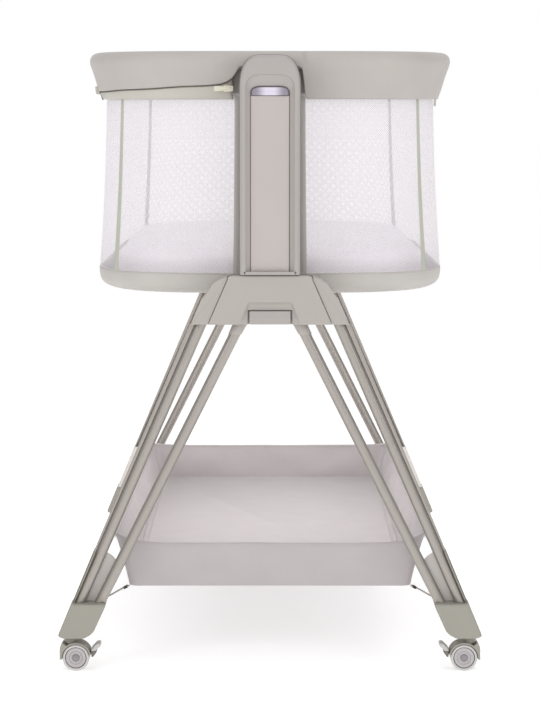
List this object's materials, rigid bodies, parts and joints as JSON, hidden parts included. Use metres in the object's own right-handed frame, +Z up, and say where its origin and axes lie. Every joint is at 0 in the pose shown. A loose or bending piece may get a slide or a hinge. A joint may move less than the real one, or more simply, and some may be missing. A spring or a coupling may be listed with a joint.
{
  "type": "bassinet on stand",
  "caption": "Bedside bassinet with mesh walls and a drop side, height-adjustable on a folding A-frame stand with braked casters and a storage basket.",
  "frame": {"origin": "on the floor under the middle of the object", "axes": "+Z up; +Y along the length of the bassinet, from the front end to the rear end; the drop side is at -X"},
  "size_m": [0.56, 0.982, 0.8133],
  "materials": {
    "lower_fabric": "woven",
    "mattress_fabric": "knitted",
    "mesh_fabric": "open mesh",
    "band_fabric": "woven",
    "rim_metal": "satin",
    "zip_metal": "satin",
    "grey_plastic": "satin",
    "inlay_plastic": "satin",
    "button_plastic": "glossy",
    "black_plastic": "matte",
    "leg_tube": "satin",
    "foot_plastic": "satin",
    "wheel_plastic": "satin",
    "basket_fabric": "woven"
  },
  "bodies": {
    "bassinet": {"base_tray": "lower_fabric", "front_wall": "mesh_fabric", "rear_wall": "mesh_fabric", "right_wall": "mesh_fabric", "front_rim_cover": "band_fabric", "rear_rim_cover": "band_fabric", "right_rim_cover": "band_fabric", "rim_tube": "rim_metal", "front_column_casing": "grey_plastic", "front_inlay_panel": "inlay_plastic", "front_rim_bracket": "black_plastic", "rear_column_casing": "grey_plastic", "rear_inlay_panel": "inlay_plastic", "rear_rim_bracket": "black_plastic"},
    "mattress": {"mattress": "mattress_fabric"},
    "drop_side": {"drop_wall": "mesh_fabric", "drop_rim_cover": "band_fabric", "drop_rail": "rim_metal"},
    "zip_slider": {"zip_slider": "zip_metal"},
    "front_stand": {"front_post": "leg_tube", "front_hub_cover": "grey_plastic", "front_hub_back": "grey_plastic", "basket": "basket_fabric", "basket_board": "basket_fabric"},
    "rear_stand": {"rear_post": "leg_tube", "rear_hub_cover": "grey_plastic", "rear_hub_back": "grey_plastic"},
    "front_height_button": {"front_height_button": "button_plastic"},
    "front_fold_button": {"front_fold_button": "grey_plastic"},
    "rear_height_button": {"rear_height_button": "button_plastic"},
    "rear_fold_button": {"rear_fold_button": "grey_plastic"},
    "front_left_leg": {"front_left_leg_socket": "grey_plastic", "front_left_outer_tube": "leg_tube", "front_left_inner_tube": "leg_tube", "front_left_foot_shell": "foot_plastic"},
    "front_left_caster": {"front_left_caster_body": "foot_plastic"},
    "front_left_wheels": {"front_left_caster_wheels": "wheel_plastic"},
    "front_left_pedal": {"front_left_brake_pedal": "wheel_plastic"},
    "front_right_leg": {"front_right_leg_socket": "grey_plastic", "front_right_outer_tube": "leg_tube", "front_right_inner_tube": "leg_tube", "front_right_foot_shell": "foot_plastic"},
    "front_right_caster": {"front_right_caster_body": "foot_plastic"},
    "front_right_wheels": {"front_right_caster_wheels": "wheel_plastic"},
    "front_right_pedal": {"front_right_brake_pedal": "wheel_plastic"},
    "rear_left_leg": {"rear_left_leg_socket": "grey_plastic", "rear_left_outer_tube": "leg_tube", "rear_left_inner_tube": "leg_tube", "rear_left_foot_shell": "foot_plastic"},
    "rear_left_caster": {"rear_left_caster_body": "foot_plastic"},
    "rear_left_wheels": {"rear_left_caster_wheels": "wheel_plastic"},
    "rear_left_pedal": {"rear_left_brake_pedal": "wheel_plastic"},
    "rear_right_leg": {"rear_right_leg_socket": "grey_plastic", "rear_right_outer_tube": "leg_tube", "rear_right_inner_tube": "leg_tube", "rear_right_foot_shell": "foot_plastic"},
    "rear_right_caster": {"rear_right_caster_body": "foot_plastic"},
    "rear_right_wheels": {"rear_right_caster_wheels": "wheel_plastic"},
    "rear_right_pedal": {"rear_right_brake_pedal": "wheel_plastic"}
  },
  "joints": [
    {"name": "front_height", "type": "slide", "parent": "bassinet", "child": "front_stand", "axis": [0, 0, 1], "range_m": [-0.12, 0]},
    {"name": "rear_height", "type": "slide", "parent": "bassinet", "child": "rear_stand", "axis": [0, 0, 1], "range_m": [-0.12, 0]},
    {"name": "front_left_fold", "type": "hinge", "parent": "front_stand", "child": "front_left_leg", "pos_m": [-0.07, -0.465, 0.5], "axis": [0, 1, 0], "range_deg": [-23, 0], "deforming": ["basket", "basket_board"]},
    {"name": "front_left_swivel", "type": "hinge", "parent": "front_left_leg", "child": "front_left_caster", "pos_m": [-0.264, -0.465, 0.045], "axis": [0, 0, 1], "continuous": true},
    {"name": "front_left_roll", "type": "hinge", "parent": "front_left_caster", "child": "front_left_wheels", "pos_m": [-0.2563, -0.465, 0.0176], "axis": [0, 1, 0], "continuous": true},
    {"name": "front_left_brake", "type": "hinge", "parent": "front_left_caster", "child": "front_left_pedal", "pos_m": [-0.236, -0.465, 0.0225], "axis": [0, 1, 0], "range_deg": [0, 22]},
    {"name": "front_right_fold", "type": "hinge", "parent": "front_stand", "child": "front_right_leg", "pos_m": [0.07, -0.465, 0.5], "axis": [0, 1, 0], "range_deg": [0, 23]},
    {"name": "front_right_swivel", "type": "hinge", "parent": "front_right_leg", "child": "front_right_caster", "pos_m": [0.264, -0.465, 0.045], "axis": [0, 0, 1], "continuous": true},
    {"name": "front_right_roll", "type": "hinge", "parent": "front_right_caster", "child": "front_right_wheels", "pos_m": [0.2563, -0.465, 0.0176], "axis": [0, 1, 0], "continuous": true},
    {"name": "front_right_brake", "type": "hinge", "parent": "front_right_caster", "child": "front_right_pedal", "pos_m": [0.236, -0.465, 0.0225], "axis": [0, -1, 0], "range_deg": [0, 22]},
    {"name": "rear_left_fold", "type": "hinge", "parent": "rear_stand", "child": "rear_left_leg", "pos_m": [-0.07, 0.465, 0.5], "axis": [0, 1, 0], "range_deg": [-23, 0]},
    {"name": "rear_left_swivel", "type": "hinge", "parent": "rear_left_leg", "child": "rear_left_caster", "pos_m": [-0.264, 0.465, 0.045], "axis": [0, 0, 1], "continuous": true},
    {"name": "rear_left_roll", "type": "hinge", "parent": "rear_left_caster", "child": "rear_left_wheels", "pos_m": [-0.2563, 0.465, 0.0176], "axis": [0, 1, 0], "continuous": true},
    {"name": "rear_left_brake", "type": "hinge", "parent": "rear_left_caster", "child": "rear_left_pedal", "pos_m": [-0.236, 0.465, 0.0225], "axis": [0, 1, 0], "range_deg": [0, 22]},
    {"name": "rear_right_fold", "type": "hinge", "parent": "rear_stand", "child": "rear_right_leg", "pos_m": [0.07, 0.465, 0.5], "axis": [0, 1, 0], "range_deg": [0, 23]},
    {"name": "rear_right_swivel", "type": "hinge", "parent": "rear_right_leg", "child": "rear_right_caster", "pos_m": [0.264, 0.465, 0.045], "axis": [0, 0, 1], "continuous": true},
    {"name": "rear_right_roll", "type": "hinge", "parent": "rear_right_caster", "child": "rear_right_wheels", "pos_m": [0.2563, 0.465, 0.0176], "axis": [0, 1, 0], "continuous": true},
    {"name": "rear_right_brake", "type": "hinge", "parent": "rear_right_caster", "child": "rear_right_pedal", "pos_m": [0.236, 0.465, 0.0225], "axis": [0, -1, 0], "range_deg": [0, 22]},
    {"name": "front_height_press", "type": "slide", "parent": "bassinet", "child": "front_height_button", "axis": [0, 1, 0], "range_m": [0, 0.003], "stiffness_N_per_m": 300},
    {"name": "front_fold_press", "type": "slide", "parent": "front_stand", "child": "front_fold_button", "axis": [0, 1, 0], "range_m": [0, 0.003], "stiffness_N_per_m": 300},
    {"name": "rear_height_press", "type": "slide", "parent": "bassinet", "child": "rear_height_button", "axis": [0, -1, 0], "range_m": [0, 0.003], "stiffness_N_per_m": 300},
    {"name": "rear_fold_press", "type": "slide", "parent": "rear_stand", "child": "rear_fold_button", "axis": [0, -1, 0], "range_m": [0, 0.003], "stiffness_N_per_m": 300},
    {"name": "drop_side_hinge", "type": "hinge", "parent": "bassinet", "child": "drop_side", "pos_m": [-0.2385, 0, 0.518], "axis": [0, 1, 0], "range_deg": [-175, 0]},
    {"name": "mattress_lift", "type": "slide", "parent": "bassinet", "child": "mattress", "axis": [0, 0, 1], "range_m": [0, 0.195]},
    {"name": "zip_slide", "type": "slide", "parent": "bassinet", "child": "zip_slider", "axis": [1, 0, 0], "range_m": [-0.035, 0]}
  ],
  "couplings": [
    {"joint": "rear_height", "follows": "front_height", "ratio": 1},
    {"joint": "front_right_fold", "follows": "front_left_fold", "ratio": -1},
    {"joint": "rear_left_fold", "follows": "front_left_fold", "ratio": 1},
    {"joint": "rear_right_fold", "follows": "front_left_fold", "ratio": -1}
  ]
}
